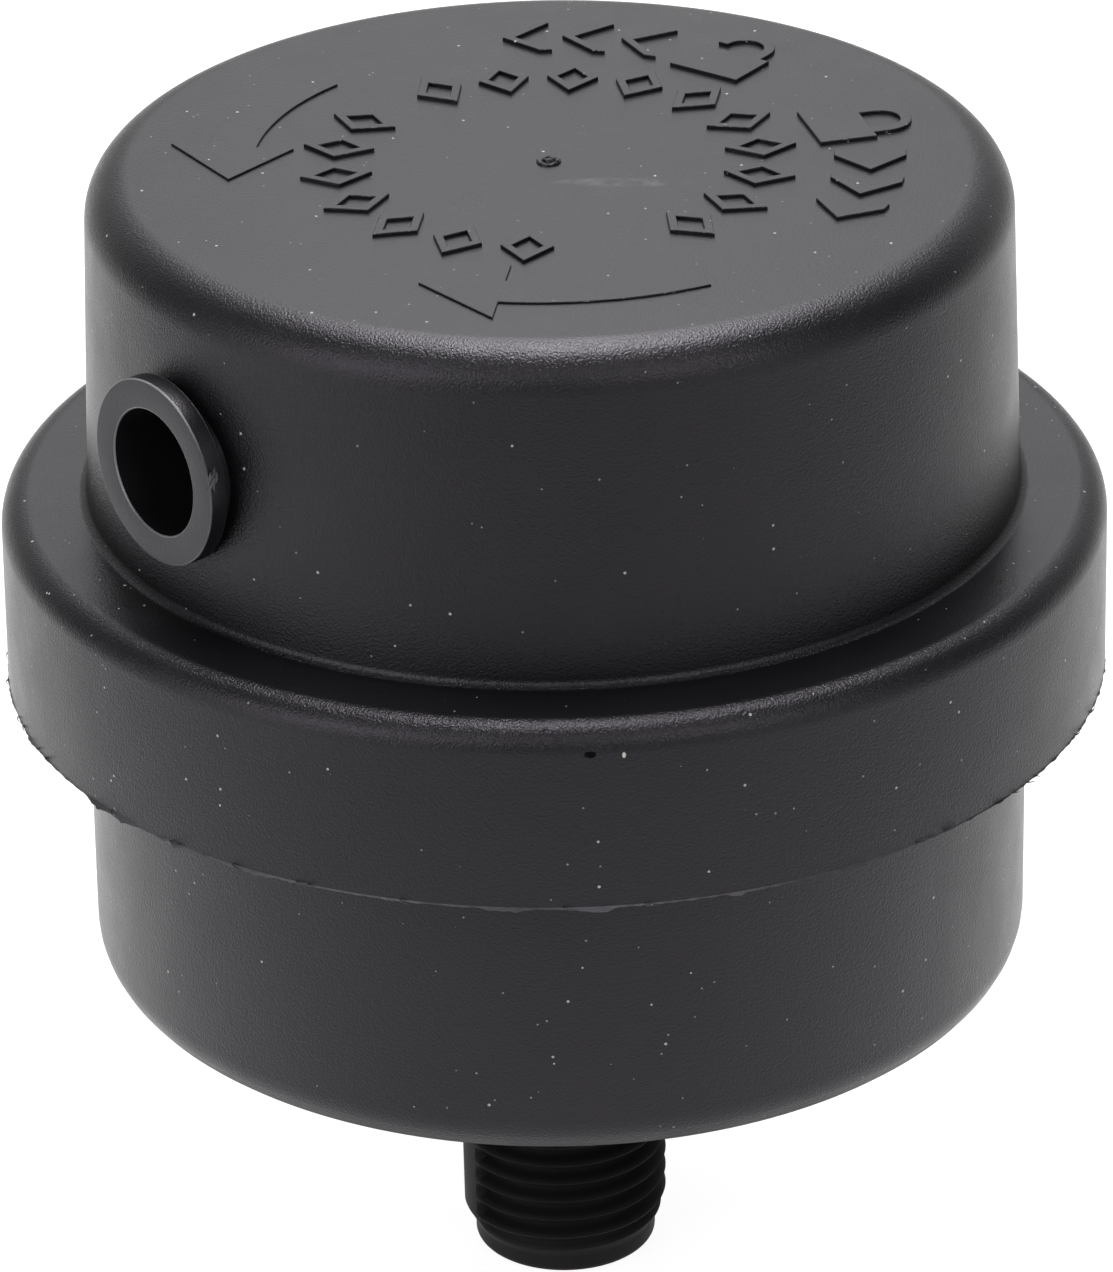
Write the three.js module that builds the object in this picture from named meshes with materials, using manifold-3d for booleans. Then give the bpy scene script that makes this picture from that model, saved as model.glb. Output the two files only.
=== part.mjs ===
// A compressor's intake muffler: a cup-shaped lid with a side inlet, a threaded base,
// and a pleated filter element between them.
// Millimetres. +Z is up along the thread's axis, the inlet points along -X, and the origin
// is on the axis in the plane of the base's flat underside.

import * as THREE from 'three';
import { mergeVertices } from 'three/addons/utils/BufferGeometryUtils.js';
import Module from 'manifold-3d';

const wasm = await Module();
wasm.setup();

// ---------------------------------------------------------------- driving dimensions

const GAP = 0.3; // clearance between pieces that touch
const ROUND = 60; // sides of the two housings
const SMALL_ROUND = 32; // sides of the round pieces inside
const TUBE_ROUND = 24; // sides of the two air passages
const STEM_ROUND = 16; // sides of the threaded stem, and steps in one turn of its thread

const lid = {
  top: 53.2, // height of the lid's flat top
  cupTopRadius: 28.2,
  cupFootRadius: 28.85,
  edgeRadius: 2.8, // rounding of the top edge
  footFillet: 0.9, // blend between the cup and the flange
  wall: 2.4,
  flangeTop: 32.1,
  flangeUnder: 29.9,
  skirtRadius: 34.25,
  skirtWall: 2.3,
  skirtBottom: 20.3,
  flangeEdgeRadius: 1.8,
};

const base = {
  radius: 29.35,
  wall: 2.35,
  rim: 27.9, // height of the open rim
  floor: 2.6, // height of the inside floor
  edgeRadius: 3.0, // rounding of the bottom edge
  seatTop: 4.6, // raised seat under the filter's gasket
  seatRadius: 15.5,
  spigotRadius: 8.2, // stub that centres the filter
  spigotTop: 9.6,
};

const stem = {
  bottom: -22,
  boreRadius: 4.2,
  leadRadius: 5.8, // plain end below the thread
  leadTop: -20.8,
  endChamfer: 0.38,
  pitch: 25.4 / 19, // quarter-inch pipe thread, 19 turns to the inch
  threadDepth: 0.856,
  crestRadiusTop: 6.7,
  crestRadiusBottom: 6.5,
  threadTop: -1.1,
  runIn: 1.4, // height over which the first turn grows to full depth
  threadStart: -90, // direction in which the thread starts
  landMiddle: 149, // direction of the plain land that interrupts the thread
  landHalfSpan: 24,
  landProud: 0.05,
};

const twist = {
  lead: 36, // rise of the lid in one full turn
  lugs: 3,
  halfSpan: 13, // degrees each side of a lug's middle
  thickness: 1.6,
  lidLugBottom: 22.0, // at the middle of a lug
};

const inlet = {
  height: 41.6,
  faceX: -30.13,
  flangeRadius: 5.8,
  flangeThickness: 1.18,
  tubeRadius: 5.0,
  boreRadius: 3.94,
  innerEndX: -9,
};

const seal = { innerRadius: 27.3, outerRadius: 29.0 };

const filter = {
  capRadius: 23,
  capSheet: 0.8, // thickness of the pressed end caps
  lip: 3.5, // how far the end caps' rims stand over the paper
  bottom: 6.7,
  top: 33.6,
  coreRadius: 10.8,
  coreWall: 0.8,
  pleats: 32,
  pleatInner: 11.9,
  pleatOuter: 21.2,
  paper: 0.5,
  potting: 1.2, // depth of the bead that holds the paper in each cap
};

const gasket = { outerRadius: 15.2, thickness: 1.5 };

const holdDown = {
  postRadius: 3.5,
  footRadius: 9,
  footThickness: 2,
  padRadius: 8.5,
  padThickness: 2,
};

const foam = { innerRadius: 21.2, outerRadius: 25.3, bottom: 34.5, top: 50.5 };

const marks = {
  height: 0.22, // how far the moulded symbols stand proud
  sunk: 0.4, // how far they run into the lid before they are joined to it
  arrowRadius: 19.5,
  arrowShaftHalf: 1.5,
  arrowHeadHalf: 3.8,
  arrowShaftAngle: 35,
  arrowHeadAngle: 15,
  stroke: 0.6,
  ringRadius: 13,
  gateRadius: 0.55, // stub left by the moulding gate
};

// ---------------------------------------------------------------- materials

function plastic(color, roughness) {
  return new THREE.MeshStandardMaterial({ color, roughness, metalness: 0 });
}

const materials = {
  housing: plastic(0x1f1e21, 0.62),
  inlet: plastic(0x232226, 0.5),
  rubber: plastic(0x111112, 0.8),
  paper: plastic(0xd8cfae, 0.95),
  potting: plastic(0x8c8f92, 0.6),
  foam: plastic(0x3a3b3e, 1.0),
  felt: plastic(0xb9b7ad, 1.0),
  steel: new THREE.MeshStandardMaterial({ color: 0xa9adb0, roughness: 0.35, metalness: 0.9 }),
};

// ---------------------------------------------------------------- solids

function radians(degrees) {
  return THREE.MathUtils.degToRad(degrees);
}

/** Signed volume of an indexed mesh: negative when its faces point inwards. */
function signedVolume(positions, triangles) {
  const corner = (index) => new THREE.Vector3().fromArray(positions, 3 * index);
  let volume = 0;
  for (let i = 0; i < triangles.length; i += 3) {
    const [a, b, c] = [0, 1, 2].map((k) => corner(triangles[i + k]));
    volume += a.dot(b.cross(c)) / 6;
  }
  return volume;
}

/** Turns a closed geometry into a manifold solid with its faces pointing out. */
function solid(geometry) {
  const bare = geometry.clone();
  for (const name of ['normal', 'uv']) {
    bare.deleteAttribute(name);
  }
  const welded = mergeVertices(bare, 1e-4);
  const positions = welded.attributes.position.array;
  const triangles = [];
  for (let i = 0; i < welded.index.count; i += 3) {
    const [a, b, c] = [0, 1, 2].map((k) => welded.index.getX(i + k));
    if (a !== b && b !== c && c !== a) {
      triangles.push(a, b, c);
    }
  }
  if (signedVolume(positions, triangles) < 0) {
    triangles.reverse();
  }
  return new wasm.Manifold(new wasm.Mesh({
    numProp: 3,
    vertProperties: new Float32Array(positions),
    triVerts: new Uint32Array(triangles),
  }));
}

function geometryOf(manifold) {
  const mesh = manifold.getMesh();
  const geometry = new THREE.BufferGeometry();
  geometry.setAttribute('position', new THREE.BufferAttribute(mesh.vertProperties, 3));
  geometry.setIndex(new THREE.BufferAttribute(mesh.triVerts, 1));
  const faceted = geometry.toNonIndexed();
  faceted.computeVertexNormals();
  return faceted;
}

function named(name, shape, material) {
  const mesh = new THREE.Mesh(geometryOf(shape), material);
  mesh.name = name;
  return mesh;
}

function joined(parts) {
  return parts.reduce((whole, part) => whole.add(part));
}

/** Points on an arc about (r, z), angles in degrees from the outward direction. */
function arc(r, z, radius, from, to, steps) {
  const points = [];
  for (let i = 0; i <= steps; i += 1) {
    const angle = radians(from + ((to - from) * i) / steps);
    points.push([r + radius * Math.cos(angle), z + radius * Math.sin(angle)]);
  }
  return points;
}

/** Revolves a profile of [radius, height] pairs about +Z. */
function turned(profile, sides) {
  const points = profile.map(([r, z]) => new THREE.Vector2(r, z));
  return solid(new THREE.LatheGeometry(points, sides).rotateX(Math.PI / 2));
}

/** A ring of rectangular section. */
function ring(innerRadius, outerRadius, bottom, top, sides) {
  return turned([
    [innerRadius, bottom],
    [outerRadius, bottom],
    [outerRadius, top],
    [innerRadius, top],
    [innerRadius, bottom],
  ], sides);
}

/** A round rod along +Z. */
function rod(radius, bottom, top, sides) {
  return turned([[0, bottom], [radius, bottom], [radius, top], [0, top]], sides);
}

/** A round rod along X at the inlet's height. */
function inletRod(radius, fromX, toX) {
  const length = toX - fromX;
  const geometry = new THREE.CylinderGeometry(radius, radius, length, TUBE_ROUND);
  geometry.rotateZ(Math.PI / 2);
  geometry.translate((fromX + toX) / 2, 0, inlet.height);
  return solid(geometry);
}

/** A bar of four-cornered section swept round the axis while it climbs. */
function swept(sections) {
  const positions = sections.flat(2);
  const triangles = [];
  const last = sections.length - 1;
  for (let i = 0; i < last; i += 1) {
    for (let k = 0; k < 4; k += 1) {
      const next = (k + 1) % 4;
      const [a, b] = [4 * i + k, 4 * i + next];
      triangles.push(a, b, b + 4, a, b + 4, a + 4);
    }
  }
  const end = 4 * last;
  triangles.push(0, 2, 1, 0, 3, 2, end, end + 1, end + 2, end, end + 2, end + 3);
  const geometry = new THREE.BufferGeometry();
  geometry.setAttribute('position', new THREE.Float32BufferAttribute(positions, 3));
  geometry.setIndex(triangles);
  return solid(geometry);
}

/** Places [radius, height] corners at an angle round the axis. */
function cornersAt(angle, corners) {
  return corners.map(([r, z]) => [r * Math.cos(angle), r * Math.sin(angle), z]);
}

/** One ramped lug, from one angle to another, following the lid's climb. */
function lug(innerRadius, outerRadius, middle, bottomAtMiddle) {
  const steps = 6;
  const sections = [];
  for (let i = 0; i <= steps; i += 1) {
    const offset = twist.halfSpan * ((2 * i) / steps - 1);
    const bottom = bottomAtMiddle + (twist.lead * offset) / 360;
    const top = bottom + twist.thickness;
    sections.push(cornersAt(radians(middle + offset), [
      [innerRadius, bottom],
      [outerRadius, bottom],
      [outerRadius, top],
      [innerRadius, top],
    ]));
  }
  return swept(sections);
}

function lugAngles() {
  return Array.from({ length: twist.lugs }, (_, i) => 30 + (360 * i) / twist.lugs);
}

// ---------------------------------------------------------------- lid

/** An outlined curved arrow on the lid, pointing the way `sense` turns (+1 is counter-clockwise). */
function arrowShape(tipAngle, sense) {
  const { arrowRadius: middle, arrowShaftHalf: half, arrowHeadHalf: headHalf } = marks;
  const neck = tipAngle - sense * marks.arrowHeadAngle;
  const tail = neck - sense * marks.arrowShaftAngle;
  const at = (radius, angle) => new THREE.Vector2(
    radius * Math.cos(radians(angle)),
    radius * Math.sin(radians(angle)),
  );
  const steps = 6;
  const along = (i) => tail + ((neck - tail) * i) / steps;
  const points = [];
  for (let i = 0; i <= steps; i += 1) {
    points.push(at(middle + half, along(i)));
  }
  points.push(at(middle + headHalf, neck), at(middle, tipAngle), at(middle - headHalf, neck));
  for (let i = steps; i >= 0; i -= 1) {
    points.push(at(middle - half, along(i)));
  }
  return new THREE.Shape(points);
}

/** Turns a shape drawn upright about (0, 0) into one that stands on a circle round the axis. */
function onCircle(shape, radius, angle) {
  const turn = radians(angle - 90);
  const place = ({ x, y }) => new THREE.Vector2(x, y + radius).rotateAround(new THREE.Vector2(), turn);
  const placed = new THREE.Shape(shape.getPoints().map(place));
  placed.holes = shape.holes.map((hole) => new THREE.Path(hole.getPoints().map(place)));
  return placed;
}

function polygon(points) {
  return new THREE.Shape(points.map(([x, y]) => new THREE.Vector2(x, y)));
}

/** An upright outlined diamond. */
function diamondShape(halfWidth, halfHeight) {
  const inner = 1 - (2 * marks.stroke) / (halfWidth + halfHeight) - 0.1;
  const outline = (k) => [[k * halfWidth, 0], [0, k * halfHeight], [-k * halfWidth, 0], [0, -k * halfHeight]];
  const shape = polygon(outline(1));
  shape.holes = [polygon(outline(inner))];
  return shape;
}

/** A V-shaped stroke that points along +X. */
function chevronShape() {
  const [reach, rise, wide] = [1.1, 2.2, 0.8];
  return polygon([
    [-reach, -rise],
    [-reach + wide, -rise],
    [reach + wide, 0],
    [-reach + wide, rise],
    [-reach, rise],
    [reach, 0],
  ]);
}

/** A padlock in one outline, with a hole inside its bow. Open, the bow's left leg ends in the air. */
function lockShape(open) {
  const [wide, bottom, top] = [2.5, -3, 0.6];
  const [outer, inner, bowMiddle, cut] = [1.9, 1.2, 1.6, 1.5];
  const steps = 8;
  const bow = (radius) => Array.from({ length: steps + 1 }, (_, i) => [
    radius * Math.cos((Math.PI * i) / steps),
    bowMiddle + radius * Math.sin((Math.PI * i) / steps),
  ]);
  const body = [[-wide, top], [-wide, bottom], [wide, bottom], [wide, top], [outer, top]];
  if (open) {
    const shortLeg = [[-outer, cut], [-inner, cut]];
    return polygon([...body, ...bow(outer), ...shortLeg, ...bow(inner).reverse(), [inner, top]]);
  }
  const shape = polygon([...body, ...bow(outer), [-outer, top]]);
  shape.holes.push(polygon([[inner, top], ...bow(inner), [-inner, top]]));
  return shape;
}

function mirrored(shape) {
  return new THREE.Shape(shape.getPoints().map(({ x, y }) => new THREE.Vector2(-x, y)));
}

/** All the raised symbols of the lid's top, as flat shapes. */
function lidSymbols() {
  const symbols = [arrowShape(148.3, 1), arrowShape(-151.5, -1)];
  const { arrowRadius } = marks;
  const opening = { middle: 32.5, chevron: mirrored(chevronShape()), step: 11, open: true };
  const closing = { middle: -39.6, chevron: chevronShape(), step: -11, open: false };
  for (const group of [opening, closing]) {
    const lockAngle = group.middle - 1.5 * group.step;
    symbols.push(onCircle(lockShape(group.open), arrowRadius, lockAngle));
    for (let i = 0; i < 3; i += 1) {
      const angle = group.middle + i * group.step;
      symbols.push(onCircle(group.chevron, arrowRadius, angle));
    }
  }
  const longRun = { from: 83, count: 10 };
  const shortRun = { from: -134, count: 7 };
  for (const run of [longRun, shortRun]) {
    for (let i = 0; i < run.count; i += 1) {
      symbols.push(onCircle(diamondShape(1.6, 2.2), marks.ringRadius, run.from - 19 * i));
    }
  }
  return symbols;
}

function raisedSymbols() {
  const depth = marks.height + marks.sunk;
  const extrude = (shape) => solid(
    new THREE.ExtrudeGeometry(shape, { depth, bevelEnabled: false, curveSegments: 6 })
      .translate(0, 0, lid.top - marks.sunk),
  );
  const gate = rod(marks.gateRadius, lid.top - marks.sunk, lid.top + marks.height, 10);
  return joined([...lidSymbols().map(extrude), gate]);
}

/** The lid's shell: cup, flange and skirt in one revolved wall. */
function lidShell() {
  const cupInner = lid.cupTopRadius - lid.wall;
  const footInner = lid.cupFootRadius - lid.wall;
  const skirtInner = lid.skirtRadius - lid.skirtWall;
  const roof = lid.top - lid.wall;
  return turned([
    [0, roof],
    ...arc(cupInner - 1, roof - 1, 1, 90, 0, 3),
    [footInner, lid.flangeUnder],
    [skirtInner, lid.flangeUnder],
    [skirtInner, lid.skirtBottom],
    [lid.skirtRadius, lid.skirtBottom],
    ...arc(lid.skirtRadius - lid.flangeEdgeRadius, lid.flangeTop - lid.flangeEdgeRadius,
      lid.flangeEdgeRadius, 0, 90, 4),
    ...arc(lid.cupFootRadius + lid.footFillet, lid.flangeTop + lid.footFillet,
      lid.footFillet, 270, 180, 2),
    ...arc(lid.cupTopRadius - lid.edgeRadius, lid.top - lid.edgeRadius,
      lid.edgeRadius, 0, 90, 5),
    [0, lid.top],
  ], ROUND);
}

/** The post that presses the filter onto its seat, hanging from the roof. */
function holdDownPost() {
  const foot = filter.top + holdDown.padThickness + 2 * GAP;
  const shoulder = foot + holdDown.footThickness;
  return turned([
    [0, foot],
    [holdDown.footRadius, foot],
    [holdDown.footRadius, shoulder],
    [holdDown.postRadius, shoulder + 1],
    [holdDown.postRadius, lid.top - lid.wall / 2],
    [0, lid.top - lid.wall / 2],
  ], SMALL_ROUND);
}

function lidHousing() {
  const skirtInner = lid.skirtRadius - lid.skirtWall;
  const lugs = lugAngles().map((angle) => lug(29.8, skirtInner + 0.4, angle, twist.lidLugBottom));
  const hole = inletRod(inlet.tubeRadius + GAP, inlet.faceX, inlet.faceX + 7);
  return joined([lidShell(), raisedSymbols(), holdDownPost(), ...lugs]).subtract(hole);
}

function inletTube() {
  const bevel = 0.25;
  const { faceX, flangeRadius, flangeThickness, tubeRadius, boreRadius, innerEndX } = inlet;
  const length = innerEndX - faceX;
  const profile = [
    [boreRadius, 0],
    [flangeRadius - bevel, 0],
    [flangeRadius, bevel],
    [flangeRadius, flangeThickness],
    [tubeRadius, flangeThickness],
    [tubeRadius, length],
    [boreRadius, length],
    [boreRadius, 0],
  ].map(([r, x]) => new THREE.Vector2(r, x));
  const geometry = new THREE.LatheGeometry(profile, TUBE_ROUND);
  geometry.rotateZ(-Math.PI / 2);
  geometry.translate(faceX, 0, inlet.height);
  return solid(geometry);
}

function foamLiner() {
  const liner = ring(foam.innerRadius, foam.outerRadius, foam.bottom, foam.top, 48);
  return liner.subtract(inletRod(inlet.tubeRadius + 0.4, -foam.outerRadius - 2, -foam.innerRadius + 4));
}

function holdDownPad() {
  const bottom = filter.top + GAP;
  return rod(holdDown.padRadius, bottom, bottom + holdDown.padThickness, SMALL_ROUND);
}

// ---------------------------------------------------------------- base

/** The helical ridge of the stem's male thread. */
function threadRidge() {
  const turns = (stem.threadTop - stem.leadTop - stem.pitch) / stem.pitch;
  const count = Math.round(turns * STEM_ROUND);
  const [rootHalf, crestHalf] = [0.6, 0.12];
  const sections = [];
  for (let i = 0; i <= count; i += 1) {
    const middle = stem.leadTop + stem.pitch * (0.5 + i / STEM_ROUND);
    const share = (middle - stem.leadTop) / -stem.leadTop;
    const fullCrest = THREE.MathUtils.lerp(stem.crestRadiusBottom, stem.crestRadiusTop, share);
    const grown = Math.min((middle - stem.leadTop) / stem.runIn, 1);
    const crest = THREE.MathUtils.lerp(stem.leadRadius, fullCrest, grown);
    const root = fullCrest - stem.threadDepth - 0.15;
    sections.push(cornersAt(radians(stem.threadStart + (360 * i) / STEM_ROUND), [
      [root, middle - rootHalf],
      [crest, middle - crestHalf],
      [crest, middle + crestHalf],
      [root, middle + rootHalf],
    ]));
  }
  return swept(sections);
}

/** A plain land down one side of the thread, just proud of its crests, where the mould parts. */
function threadLand() {
  const steps = 6;
  const sections = [];
  const lowCrest = THREE.MathUtils.lerp(
    stem.crestRadiusBottom,
    stem.crestRadiusTop,
    stem.runIn / -stem.leadTop,
  );
  for (let i = 0; i <= steps; i += 1) {
    const angle = stem.landMiddle + stem.landHalfSpan * ((2 * i) / steps - 1);
    sections.push(cornersAt(radians(angle), [
      [5, stem.leadTop + 0.15],
      [lowCrest + stem.landProud, stem.leadTop + stem.runIn],
      [stem.crestRadiusTop + stem.landProud, stem.threadTop + 0.2],
      [5, stem.threadTop + 0.2],
    ]));
  }
  return swept(sections);
}

/** The stem without its bore: a plain lead-in end and the tapered root of the thread. */
function stemCore() {
  return turned([
    [0, stem.bottom],
    [stem.leadRadius - stem.endChamfer, stem.bottom],
    [stem.leadRadius, stem.bottom + stem.endChamfer],
    [stem.leadRadius, stem.leadTop],
    [stem.crestRadiusBottom - stem.threadDepth, stem.leadTop],
    [stem.crestRadiusTop - stem.threadDepth, 0],
    [stem.crestRadiusTop - stem.threadDepth, base.floor / 2],
    [0, base.floor / 2],
  ], STEM_ROUND);
}

/** The base's cup with the filter's seat and centring stub, before it is bored. */
function baseCup() {
  const inner = base.radius - base.wall;
  return turned([
    [0, 0],
    ...arc(base.radius - base.edgeRadius, base.edgeRadius, base.edgeRadius, -90, 0, 5),
    [base.radius, base.rim],
    [inner, base.rim],
    ...arc(inner - 1.5, base.floor + 1.5, 1.5, 0, -90, 3),
    [base.seatRadius, base.floor],
    [base.seatRadius, base.seatTop],
    [base.spigotRadius, base.seatTop],
    [base.spigotRadius, base.spigotTop - 0.6],
    [base.spigotRadius - 0.6, base.spigotTop],
    [0, base.spigotTop],
  ], ROUND);
}

/** The block that the lid's lug comes up against when the lid is closed. */
function lugStop(innerRadius, outerRadius, lugMiddle) {
  const [near, far] = [twist.halfSpan + 0.6, twist.halfSpan + 4];
  const bottom = lid.skirtBottom + 0.8;
  const top = twist.lidLugBottom + twist.thickness + 1.2;
  const sections = [far, near].map((offset) => cornersAt(radians(lugMiddle - offset), [
    [innerRadius, bottom],
    [outerRadius, bottom],
    [outerRadius, top],
    [innerRadius, top],
  ]));
  return swept(sections);
}

function baseHousing() {
  const [lugInner, lugOuter] = [base.radius - 0.5, 31.45];
  const lugBottom = twist.lidLugBottom + twist.thickness + GAP;
  const lugs = lugAngles().map((angle) => lug(lugInner, lugOuter, angle, lugBottom));
  const stops = lugAngles().map((angle) => lugStop(lugInner, lugOuter, angle));
  const bore = rod(stem.boreRadius, stem.bottom - 1, base.spigotTop + 1, TUBE_ROUND);
  return joined([baseCup(), stemCore(), threadRidge(), threadLand(), ...lugs, ...stops]).subtract(bore);
}

/** The soft ring between the base's rim and the lid's flange. */
function sealRing() {
  const [bottom, top] = [base.rim + GAP, lid.flangeUnder - GAP];
  const [corner, { innerRadius, outerRadius }] = [0.4, seal];
  return turned([
    [innerRadius, bottom + corner],
    [innerRadius + corner, bottom],
    [outerRadius - corner, bottom],
    [outerRadius, bottom + corner],
    [outerRadius, top - corner],
    [outerRadius - corner, top],
    [innerRadius + corner, top],
    [innerRadius, top - corner],
    [innerRadius, bottom + corner],
  ], 40);
}

function elementGasket() {
  const bottom = base.seatTop + GAP;
  return ring(base.spigotRadius + GAP, gasket.outerRadius, bottom, bottom + gasket.thickness, SMALL_ROUND);
}

// ---------------------------------------------------------------- filter element

const capInner = {
  bottom: filter.bottom + filter.capSheet, // upper face of the bottom cap's sheet
  top: filter.top - filter.capSheet, // lower face of the top cap's sheet
};

function filterBottomCap() {
  const hole = base.spigotRadius + GAP;
  const { capRadius, capSheet, bottom, lip } = filter;
  return turned([
    [hole, bottom],
    [capRadius - 0.5, bottom],
    [capRadius, bottom + 0.5],
    [capRadius, capInner.bottom + lip],
    [capRadius - capSheet, capInner.bottom + lip],
    [capRadius - capSheet, capInner.bottom],
    [hole + capSheet, capInner.bottom],
    [hole + capSheet, capInner.bottom + 2],
    [hole, capInner.bottom + 2],
    [hole, bottom],
  ], SMALL_ROUND);
}

function filterTopCap() {
  const { capRadius, capSheet, top, lip } = filter;
  const dishRadius = holdDown.padRadius + 1.5;
  return turned([
    [0, capInner.top],
    [capRadius - capSheet, capInner.top],
    [capRadius - capSheet, capInner.top - lip],
    [capRadius, capInner.top - lip],
    [capRadius, top - 0.5],
    [capRadius - 0.5, top],
    [dishRadius + 0.5, top],
    [dishRadius, top - 0.3],
    [0, top - 0.3],
  ], SMALL_ROUND);
}

function pottingBead(bottom) {
  const inner = filter.coreRadius + GAP;
  const outer = filter.capRadius - filter.capSheet - GAP;
  return ring(inner, outer, bottom, bottom + filter.potting, SMALL_ROUND);
}

/** The filter's inner support tube, with rows of windows for the air. */
function filterCore() {
  const inner = filter.coreRadius - filter.coreWall;
  const [bottom, top] = [capInner.bottom + GAP, capInner.top - GAP];
  const tube = ring(inner, filter.coreRadius, bottom, top, SMALL_ROUND);
  const rows = 3;
  const pitch = (top - bottom) / rows;
  const windows = [];
  for (let row = 0; row < rows; row += 1) {
    for (let column = 0; column < 5; column += 1) {
      const slot = new THREE.BoxGeometry(3 * filter.coreRadius, 3.4, pitch - 2.2);
      slot.rotateZ(radians(36 * column));
      slot.translate(0, 0, bottom + pitch * (row + 0.5));
      windows.push(solid(slot));
    }
  }
  return tube.subtract(joined(windows));
}

/** The zigzag centre line of the pleated paper, seen from above. */
function pleatLine() {
  const flat = 0.35; // half the width of a fold
  const points = [];
  for (let i = 0; i < 2 * filter.pleats; i += 1) {
    const radius = i % 2 ? filter.pleatInner : filter.pleatOuter;
    const angle = (Math.PI * i) / filter.pleats;
    for (const side of [-1, 1]) {
      const turn = angle + (side * flat) / radius;
      points.push(new THREE.Vector2(radius * Math.cos(turn), radius * Math.sin(turn)));
    }
  }
  return points;
}

/** Moves a closed outline sideways by a distance, keeping its corners. */
function offsetOutline(points, distance) {
  const count = points.length;
  const normal = (from, to) => {
    const along = to.clone().sub(from).normalize();
    return new THREE.Vector2(along.y, -along.x);
  };
  return points.map((point, i) => {
    const before = normal(points[(i + count - 1) % count], point);
    const after = normal(point, points[(i + 1) % count]);
    const bisector = before.clone().add(after).normalize();
    return point.clone().addScaledVector(bisector, distance / bisector.dot(before));
  });
}

function filterMedia() {
  const line = pleatLine();
  const shape = new THREE.Shape(offsetOutline(line, filter.paper / 2));
  shape.holes = [new THREE.Path(offsetOutline(line, -filter.paper / 2))];
  const bottom = capInner.bottom + filter.potting + 2 * GAP;
  const top = capInner.top - filter.potting - 2 * GAP;
  const geometry = new THREE.ExtrudeGeometry(shape, { depth: top - bottom, bevelEnabled: false });
  return solid(geometry.translate(0, 0, bottom));
}

// ---------------------------------------------------------------- assembly

const element = new THREE.Group();
element.add(
  named('element_gasket', elementGasket(), materials.rubber),
  named('filter_bottom_cap', filterBottomCap(), materials.steel),
  named('filter_bottom_potting', pottingBead(capInner.bottom + GAP), materials.potting),
  named('filter_core', filterCore(), materials.steel),
  named('filter_media', filterMedia(), materials.paper),
  named('filter_top_potting', pottingBead(capInner.top - GAP - filter.potting), materials.potting),
  named('filter_top_cap', filterTopCap(), materials.steel),
);

const lidGroup = new THREE.Group();
lidGroup.add(
  named('lid_housing', lidHousing(), materials.housing),
  named('inlet_tube', inletTube(), materials.inlet),
  named('foam_liner', foamLiner(), materials.foam),
  named('hold_down_pad', holdDownPad(), materials.felt),
);

const muffler = new THREE.Group();
muffler.add(
  named('base_housing', baseHousing(), materials.housing),
  element,
  named('lid_seal_ring', sealRing(), materials.rubber),
  lidGroup,
);

export default muffler;
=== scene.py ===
import math
import random

import bmesh
import bpy
from mathutils import Matrix, Quaternion, Vector


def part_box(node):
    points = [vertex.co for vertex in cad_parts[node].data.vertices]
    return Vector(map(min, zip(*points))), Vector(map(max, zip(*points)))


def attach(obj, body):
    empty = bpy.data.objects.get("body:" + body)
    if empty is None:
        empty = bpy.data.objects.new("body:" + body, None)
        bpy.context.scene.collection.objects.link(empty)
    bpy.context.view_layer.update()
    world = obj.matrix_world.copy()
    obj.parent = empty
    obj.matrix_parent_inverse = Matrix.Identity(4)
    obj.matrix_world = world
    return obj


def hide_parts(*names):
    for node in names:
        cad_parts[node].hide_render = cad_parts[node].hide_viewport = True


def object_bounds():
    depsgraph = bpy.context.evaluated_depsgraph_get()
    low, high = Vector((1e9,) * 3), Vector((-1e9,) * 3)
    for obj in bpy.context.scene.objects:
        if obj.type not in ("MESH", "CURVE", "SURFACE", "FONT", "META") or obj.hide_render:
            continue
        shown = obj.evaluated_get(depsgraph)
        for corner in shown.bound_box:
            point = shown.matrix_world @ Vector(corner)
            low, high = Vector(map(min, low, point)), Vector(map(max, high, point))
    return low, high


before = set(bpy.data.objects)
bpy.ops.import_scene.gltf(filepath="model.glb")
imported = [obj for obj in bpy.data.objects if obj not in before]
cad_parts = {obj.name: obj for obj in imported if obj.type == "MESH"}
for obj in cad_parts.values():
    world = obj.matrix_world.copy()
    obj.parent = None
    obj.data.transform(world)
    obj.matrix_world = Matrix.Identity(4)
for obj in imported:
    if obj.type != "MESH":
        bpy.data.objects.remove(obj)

MM = 0.001
CAD_BOX = [list(corner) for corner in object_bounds()]

# ------------------------------------------------------------------ sizes, in metres

STEM_LO, BASE_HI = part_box("base_housing")
LID_LO, LID_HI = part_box("lid_housing")
INLET_LO, INLET_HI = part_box("inlet_tube")
SEAL_LO, SEAL_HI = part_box("lid_seal_ring")
MEDIA_LO, MEDIA_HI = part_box("filter_media")
CORE_LO, CORE_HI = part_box("filter_core")
BOTTOM_CAP_LO, BOTTOM_CAP_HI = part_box("filter_bottom_cap")
TOP_CAP_LO, TOP_CAP_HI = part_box("filter_top_cap")
FOAM_LO, FOAM_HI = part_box("foam_liner")
PAD_LO, PAD_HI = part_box("hold_down_pad")
GASKET_LO, GASKET_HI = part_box("element_gasket")

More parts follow.
